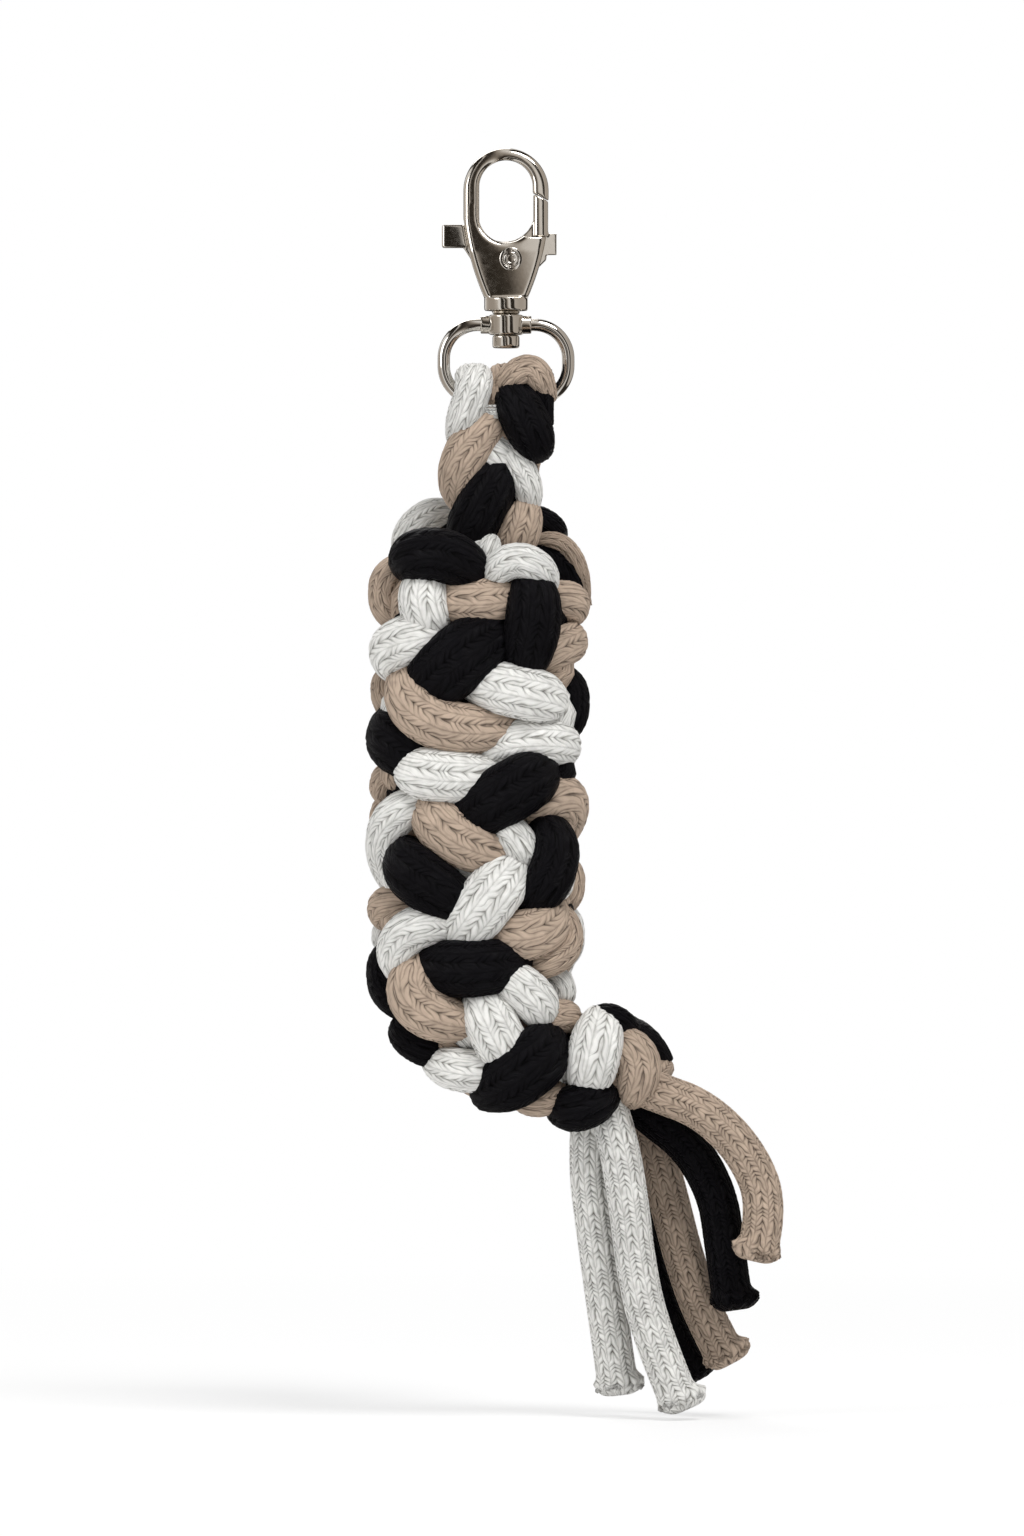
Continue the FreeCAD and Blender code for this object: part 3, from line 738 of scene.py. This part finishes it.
@dataclass
class EndKnot:
    """The knot: the bights that the photograph shows, and turns that go on round behind."""

    route: RopeRoute
    middle_r: float = 12.0
    lean: float = 0.5    # radians that a turn leans over the knot's length
    half_w: float = 6.6
    half_t: float = 4.9
    dive: float = 6.5    # how deep a turn's ends go
    narrow: float = 0.3  # part of its width that it loses there
    # angle round the knot and colour of each turn
    turns: tuple[tuple[int, Cord], ...] = (
        (62, B), (112, W), (160, T), (208, B), (256, W), (300, T))

    def turn(self, degrees: float, cord: Cord) -> Tube:
        """One turn of cord over the knot's barrel."""
        way, near = self.route.exit_way(), self.route.knot_start()
        front, up = np.array((way[1], -way[0], 0.0)), np.array((0.0, 0.0, 1.0))
        t = np.linspace(-0.08, 1.08, 34)
        reach = np.abs(2 * t - 1)
        angle = math.radians(degrees) + self.lean * (t - 0.5)
        ray = front * np.cos(angle)[:, None] + up * np.sin(angle)[:, None]
        radius = self.middle_r - self.half_t * 0.4 - self.dive * reach ** 3
        centre = near + way * (KNOT_LENGTH * t)[:, None] + ray * radius[:, None]
        wide = self.half_w * (1 - self.narrow * np.minimum(reach, 1.1) ** 3)
        return Tube(centre * MM, ray, wide * MM, self.half_t * MM, PULLED_LAY, cord, sides=40,
                    start=degrees * 0.1 * MM)

    def build(self, cordage: Cordage) -> Object:
        """Make the knot as one piece."""
        shown = Bights("knot_bights", KNOT_BIGHTS, -35.0, left=-60, right=60, dive=8 * MM,
                       start_step=1.3 * MM)
        turns = [self.turn(degrees, cord) for degrees, cord in self.turns]
        return mesh_of("end_knot_turns", shown.tubes() + turns, cordage)


@dataclass
class CordFolds:
    """The three cords where they fold over the bar of the eye."""

    bar_z: float = -67.25
    fold_r: float = 6.3
    pitch: float = 9.0  # from one cord to the next
    middle_x: float = -0.5
    half_w: float = 4.8
    half_t: float = 3.9
    leg: float = 7.0    # how far each side goes on down

    def build(self, cordage: Cordage) -> dict[Cord, Object]:
        """Make one folded cord for each colour."""
        made = {}
        for place, cord in enumerate((W, T, B)):
            x = self.middle_x + (place - 1) * self.pitch
            feet = np.linspace(-self.leg, 0, 8)[:-1]
            turn = np.linspace(0, math.pi, 28)
            front, back = np.full(len(feet), -1.0), np.full(len(feet), 1.0)
            y = np.concatenate([front, -np.cos(turn), back]) * self.fold_r
            z = np.concatenate([feet, np.sin(turn) * self.fold_r, feet[::-1]]) + self.bar_z
            line = np.stack([np.full(len(y), x), y, z], axis=1)
            out = line - np.array((x, 0, self.bar_z))
            out[:, 2] = np.maximum(out[:, 2], 0)
            tube = Tube(line * MM, out, self.half_w * MM, self.half_t * MM, PULLED_LAY, cord,
                        sides=36)
            made[cord] = mesh_of(f"{cord.value}_fold", [tube], cordage)
        return made


@dataclass(frozen=True)
class LooseCord:
    """One of the loose cords below the knot."""

    node: str
    cord: Cord
    lip: float  # angle round the cord at which its melted end stands out most
    # its route, in mm from the knot's middle
    points: tuple[tuple[float, float, float], ...]


LOOSE_CORDS = (
    LooseCord("taupe_tail_outer", T, 0.4, (
        (2, -9, -2), (14, -10.5, -7), (28, -10.5, -12), (40, -11.5, -24), (46, -12, -39),
        (43, -12, -51))),
    LooseCord("black_tail_outer", B, 3.0, (
        (5, -1, -6), (13, -1, -14), (24, -2, -22), (32, -2.5, -36), (34, -3, -51), (36, -4, -65))),
    LooseCord("taupe_tail_inner", T, 3.3, (
        (8.5, 9, -4), (13.5, 10.5, -20), (18, 9, -36), (22.5, 7, -54), (28, 6, -70), (34, 6, -81))),
    LooseCord("black_tail_inner", B, 2.8, (
        (-2.5, 9.5, -6), (0.5, 13, -20), (6, 14.5, -36), (12, 15.5, -54), (18, 16, -74),
        (25, 17, -86))),
    LooseCord("white_tail_front", W, 3.1, (
        (0, -8, -8), (4, -10, -20), (7, -9, -38), (9, -8, -56), (13, -8, -74), (21, -10, -93))),
    LooseCord("white_tail_back", W, 3.4, (
        (-3, -0.5, -8), (-4.5, 0, -26), (-2, 1, -46), (1, 2, -68), (4, 3, -89))),
)


@dataclass
class Whipping:
    """Fine thread wound round the cords under the eye."""

    turns: int = 5
    thread: float = 0.75
    top_z: float = -68.8
    half_x: float = 12.8
    half_y: float = 11.0
    middle_x: float = -0.5
    boxy: float = 0.45     # under 1 makes a turn squarer than an ellipse
    side_dip: float = 1.5  # how much lower it runs at the sides, clear of the eye

    def build(self, cordage: Cordage) -> Object:
        """Wind the thread as one unbroken length."""
        steps = 64 * self.turns
        turn = np.linspace(0, math.tau * self.turns, steps)
        x = self.half_x * np.sign(np.sin(turn)) * np.abs(np.sin(turn)) ** self.boxy + self.middle_x
        y = -self.half_y * np.sign(np.cos(turn)) * np.abs(np.cos(turn)) ** self.boxy
        wave = 0.12 * np.sin(turn * 3.3)
        z = self.top_z - self.thread * turn / math.tau + wave
        z -= self.side_dip * np.sin(turn) ** 2
        line = np.stack([x, y, z], axis=1) * MM
        out = np.stack([x, y, np.zeros(steps)], axis=1)
        half = self.thread * 0.52 * MM  # a little over half, so that the turns touch
        fine = Lay(ribs=4, pitch=1.1 * MM, slant=0.9, relief=0.05 * MM)
        thread = Tube(line, out, half, half, fine, Cord.WHITE, sides=10)
        return mesh_of("throat_threads", [thread], cordage)


@dataclass
class Tassel:
    """The six loose cords, each with its heat sealed and frayed end."""

    route: RopeRoute
    diameter: float = 11.0 * MM
    step: float = 0.45 * MM      # from ring to ring
    tip_len: float = 3.2 * MM    # length over which the end swells
    tip_run: float = 3.6 * MM    # what the melted end adds to the cord
    round_len: float = 4.2 * MM  # its rounded last stretch
    closing: float = 0.85        # part of the radius that the rounding takes at the very end
    flare: float = 1.9 * MM
    ripple: float = 0.3 * MM
    frays: int = 30
    sides: int = 80

    def middle(self) -> ndarray:
        """The knot's middle, in mm."""
        return self.route.knot_start() + self.route.exit_way() * (KNOT_LENGTH / 2)

    def lobes(self, turn: ndarray, lip: float, seed: float) -> ndarray:
        """How far the melted end stands out round the cord, as a part of the flare."""
        stands = (0.5 + 0.5 * np.cos(turn - lip)) ** 2
        return (0.3 + 0.8 * stands + 0.16 * np.sin(3 * turn + 2 * seed)
                + 0.12 * np.sin(8 * turn - seed))

    def swell(self, turn: ndarray, place: ndarray, lobes: ndarray) -> ndarray:
        """How far each point of a cord stands out over its round section."""
        left = place[-1] - place
        grown = np.clip(1 - (left - self.round_len) / self.tip_len, 0, 1)[:, None] ** 2
        near_end = np.clip(1 - left / self.round_len, 0, 1)
        closed = (1 - np.sqrt(1 - near_end ** 2))[:, None]
        ripples = self.ripple * np.sin(11 * turn + place[:, None] / MM * 1.7)
        return grown * (self.flare * lobes + ripples) - closed * self.closing * self.diameter / 2

    def fray(self, foot: ndarray, out: ndarray, down: ndarray, seed: float, cord: Cord) -> Tube:
        """One short loose yarn at the cut end."""
        length = (0.5 + 0.8 * abs(math.sin(seed * 7.1))) * MM
        t = np.linspace(0, 1, 6)[:, None]
        curl = math.sin(seed * 3.7)
        line = foot + out * length * t * (0.3 + 0.25 * curl) + down * length * t * (0.9 - 0.2 * t)
        half = np.linspace(0.55, 0.42, len(t)) * MM
        side = np.tile(np.cross(out, down), (len(t), 1))
        return Tube(line, side, half, half, FREE_LAY, cord, sides=8, start=seed * 0.01)

    def build(self, loose: LooseCord, cordage: Cordage) -> tuple[Object, ndarray]:
        """Make one loose cord.

        Args:
            loose: the cord and its route.
            cordage: the cord materials.

        Returns:
            The piece and the line that it follows.
        """
        line = spline_points([tuple((self.middle() + np.array(p)) * MM) for p in loose.points],
                             self.step)
        down = line[-1] - line[-2]
        down /= np.linalg.norm(down)
        beyond = self.tip_run * np.sin(np.linspace(0, math.pi / 2, 13)[1:])
        line = np.concatenate([line, line[-1] + down * beyond[:, None]])
        out = carried_frames(line, (0, -1, 0))
        seed = len(loose.node) + loose.points[-1][0]
        turn = math.tau * np.arange(self.sides) / self.sides
        lobes = self.lobes(turn, loose.lip, seed)
        radius = self.diameter / 2
        tubes = [Tube(line, out, radius, radius, FREE_LAY, loose.cord, self.sides,
                      start=1.7 * MM * seed, fullness=2.0,
                      swell=self.swell(turn, places_along(line), lobes))]
        side = np.cross(down, out[-1])
        for i in range(self.frays):
            angle = math.tau * i / self.frays + 0.4 * math.sin(i * 5.3 + seed)
            ray = out[-1] * math.sin(angle) + side * math.cos(angle)
            back = (2.0 + 1.4 * abs(math.sin(i * 2.9 + seed))) * MM
            lobe = lobes[int(angle / 2 / math.pi * self.sides) % self.sides]
            foot = line[-1] - down * back + ray * (radius + 0.7 * self.flare * lobe)
            tubes.append(self.fray(foot, ray, down, i * 0.37 + seed, loose.cord))
        return mesh_of(loose.node + "_cord", tubes, cordage, True), line


@dataclass
class Studio:
    """Pale floor, soft lights and the camera at the photograph's angle."""

    distance: float = 3.2
    plane_y: float = -12 * MM  # where the photo's scale holds
    aim_z: float = -0.18       # the object's middle
    floor_gap: float = 0.6 * MM
    fill: float = 0.44
    warmth: float = 0.35       # how much warmer the darkest panel is than the brightest
    # Place from left to right and brightness of what the metal sees, its two ends first
    panels: tuple[tuple[float, float], ...] = (
        (0.0, 0.45), (1.0, 0.5), (0.1, 0.6), (0.16, 1.0), (0.22, 0.9), (0.25, 0.04),
        (0.375, 0.02), (0.395, 0.9), (0.41, 0.5), (0.43, 0.03), (0.5, 0.05), (0.55, 0.35),
        (0.61, 0.8), (0.67, 0.9), (0.7, 0.04), (0.84, 0.03), (0.87, 0.6))

    def floor(self) -> None:
        """A wide pale floor that keeps the object's soft shadow."""
        bpy.ops.object.select_all(action="DESELECT")
        level = CAD_BOX[0][2] - self.floor_gap
        bpy.ops.mesh.primitive_plane_add(size=12, location=(0, 0, 0))
        floor = bpy.context.object
        floor.name = "floor"
        for vertex in floor.data.vertices:
            vertex.co.z = level
        material = bpy.data.materials.new("matt_paper_floor")
        tree = fresh_tree(material)
        ray = add_node(tree, "LightPath")
        paper = add_node(tree, "BsdfDiffuse", Color=linear("#FAFAFA"))
        glow = add_node(tree, "Emission", Color=(1, 1, 1, 1), Strength=1.0)
        where = add_node(tree, "TexCoord")
        far = add_node(tree, "VectorMath", {"operation": "LENGTH"}, i0=where.outputs["Object"])
        fade = add_node(tree, "MapRange", i0=far.outputs["Value"], i1=0.35, i2=1.0, i3=0.6, i4=1.0)
        seen = calc(tree, "MULTIPLY", ray.outputs["Is Camera Ray"], fade.outputs[0])
        mix = add_node(tree, "MixShader", i0=seen, i1=paper.outputs[0], i2=glow.outputs[0])
        add_node(tree, "OutputMaterial", Surface=mix.outputs[0])
        floor.data.materials.append(material)
        floor.visible_glossy = False

    def world(self) -> None:
        """White to the camera, soft grey fill, and a banded studio for the plate to mirror."""
        world = bpy.data.worlds.new("studio")
        bpy.context.scene.world = world
        tree = fresh_tree(world)
        ray = add_node(tree, "LightPath")
        way = add_node(tree, "TexCoord")
        parts = add_node(tree, "SeparateXYZ", i0=way.outputs["Generated"])
        tilted = calc(tree, "MULTIPLY_ADD", parts.outputs["Z"], 0.3, parts.outputs["X"])
        sideways = add_node(tree, "MapRange", i0=tilted, i1=-1.0, i2=1.0, i3=0.0, i4=1.0)
        panels = add_node(tree, "ValToRGB", Fac=sideways.outputs[0])
        ramp = panels.color_ramp
        for index, (spot, level) in enumerate(self.panels):
            stop = ramp.elements[index] if index < 2 else ramp.elements.new(spot)
            stop.position = spot
            warm = 1 - self.warmth * (1 - level)
            stop.color = (level, level * (1 + warm) / 2, level * warm, 1)
        fill = add_node(tree, "Mix", {"data_type": "RGBA"},
                        i0=ray.outputs["Is Glossy Ray"], i6=(self.fill,) * 3 + (1,),
                        i7=panels.outputs["Color"])
        seen = add_node(tree, "Mix", {"data_type": "RGBA"},
                        i0=ray.outputs["Is Camera Ray"], i6=fill.outputs[2], i7=(1, 1, 1, 1))
        back = add_node(tree, "Background", Color=seen.outputs[2], Strength=1.0)
        add_node(tree, "OutputWorld", Surface=back.outputs[0])

    def lamp(self, name: str, place: tuple[float, ...], size: float, watts: float) -> None:
        """One large soft lamp that faces the object's middle."""
        data = bpy.data.lights.new(name, "AREA")
        data.shape = "DISK"
        data.size = size
        data.energy = watts
        lamp = add_object(name, data)
        lamp.location = place
        aim = Vector((0, 0, self.aim_z)) - Vector(place)
        lamp.rotation_euler = aim.to_track_quat("-Z", "Y").to_euler()

    def camera(self) -> None:
        """Long lens square to the front, framed as the photograph is."""
        x, z = from_photo(PHOTO_W / 2, PHOTO_H / 2)
        data = bpy.data.cameras.new("camera")
        data.sensor_width = 36
        data.lens = data.sensor_width * self.distance / (PHOTO_H * PIXEL)
        camera = add_object("camera", data)
        camera.location = (x, self.plane_y - self.distance, z)
        camera.rotation_euler = (math.radians(90), 0, 0)
        bpy.context.scene.camera = camera

    def build(self) -> None:
        """Set the studio up."""
        self.floor()
        self.world()
        self.lamp("key", (0.5, -0.8, 1.2), 0.7, 18)
        self.lamp("fill", (-1.1, -0.8, 0.3), 0.8, 5)
        self.lamp("back", (-0.3, 1.0, 0.8), 0.8, 5)
        self.camera()
        bpy.context.scene.view_settings.view_transform = "Standard"


@dataclass
class Hardware:
    """The snap, its lever and rivet, the swivel and the spring, with their cast edges worn soft."""

    # node, body, slot, voxel in mm and rounds of smoothing
    softened: tuple[tuple[str, str, str, float, int], ...] = (
        ("snap_body", "snap", "cast_nickel", 0.22, 18),
        ("gate_lever", "gate", "cast_nickel", 0.2, 12),
        ("gate_rivet", "snap", "rivet_nickel", 0.08, 6),
        ("swivel_collar", "eye", "cast_nickel", 0.17, 12),
    )

    def soften(self, node: str, voxel: float, rounds: int) -> Object:
        """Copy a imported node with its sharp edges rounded, as tumbling leaves them.

        Args:
            node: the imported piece.
            voxel: size in mm of the even faces that it gets first.
            rounds: how often these are smoothed.

        Returns:
            The new piece.
        """
        mesh = bpy.data.objects[node].data.copy()
        mesh.materials.clear()
        piece = add_object(node + "_tumbled", mesh)
        select_only(piece)
        bpy.ops.object.mode_set(mode="EDIT")
        bpy.ops.mesh.select_all(action="SELECT")
        bpy.ops.mesh.remove_doubles(threshold=0.01 * MM)
        bpy.ops.object.mode_set(mode="OBJECT")
        remesh = piece.modifiers.new("even_faces", "REMESH")
        remesh.mode = "VOXEL"
        remesh.voxel_size = voxel * MM
        bpy.ops.object.modifier_apply(modifier=remesh.name)
        wear = piece.modifiers.new("worn_edges", "SMOOTH")
        wear.factor = 0.5
        wear.iterations = rounds
        bpy.ops.object.modifier_apply(modifier=wear.name)
        bpy.ops.object.shade_smooth()
        return piece

    def build(self) -> None:
        """Make and dress the metal pieces."""
        cast = NickelPlate("bright_nickel_on_zinc").make()
        wire = NickelPlate("bright_nickel_on_wire", "#D4D0CA", 0.06, 0.05, 0.0).make()
        head = NickelPlate("bright_nickel_on_rivet", "#DEDAD4", 0.08, 0.03, 90.0,
                           (1.4 * MM, 0.0, -27.9 * MM)).make()
        for node, body, slot, voxel, rounds in self.softened:
            piece = self.soften(node, voxel, rounds)
            piece.data.materials.append(head if node == "gate_rivet" else cast)
            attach(piece, body)
            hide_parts(node)
            log.info("softened %s to %d faces", node, len(piece.data.polygons))
        for node in ("eye_bow", "gate_spring"):
            mesh = bpy.data.objects[node].data
            mesh.materials.clear()
            mesh.materials.append(wire)
            log.info("dressed %s", node)


def dress_rope(piece: Object, slot: str, *nodes: str) -> None:
    """Let a piece ride on the rope, and stand for its nodes."""
    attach(piece, ROPE_BODY)
    if nodes:
        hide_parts(*nodes)
    log.info("built %s with %d faces", piece.name, len(piece.data.polygons))


def build_rope(cordage: Cordage) -> None:
    """Make the plait, its bights, the folds, the knot and the loose cords."""
    route = RopeRoute()
    plait = Plait(route)
    rope, line = plait.build(cordage)
    dress_rope(rope, "rope_plait", "rope_hank")
    half = len(FRONT_BIGHTS) // 2  # two pieces, to keep each one's triangles few
    stretches = (
        Bights("eye_bights", EYE_BIGHTS, -15.5, left=-40, right=40, dive=5 * MM),
        Bights("neck_bights", NECK_BIGHTS, -14.5, left=-8.5, right=3.5, round_r=9, dive=6 * MM),
        Bights("shoulder_bights", SHOULDER_BIGHTS, 15.0, left=-60, right=60, dive=5 * MM),
        Bights("upper_front_bights", FRONT_BIGHTS[:half], -38.0),
        Bights("lower_front_bights", FRONT_BIGHTS[half:], -38.0),
    )
    for stretch in stretches:
        piece = stretch.build(cordage)
        dress_rope(piece, "rope_plait")
    for cord, piece in CordFolds().build(cordage).items():
        dress_rope(piece, "cord_" + cord.value, cord.value + "_cord_fold")
    dress_rope(Whipping().build(cordage), "whipping_thread", "throat_whipping")
    dress_rope(EndKnot(route).build(cordage), "rope_plait", "end_knot")
    tassel = Tassel(route)
    for loose in LOOSE_CORDS:
        piece, way = tassel.build(loose, cordage)
        dress_rope(piece, "cord_" + loose.cord.value, loose.node)


def main() -> None:
    """Build everything in order."""
    logging.basicConfig(level=logging.INFO, format="%(message)s")
    Hardware().build()
    build_rope(Cordage())
    Studio().build()


if __name__ == "__main__":
    main()
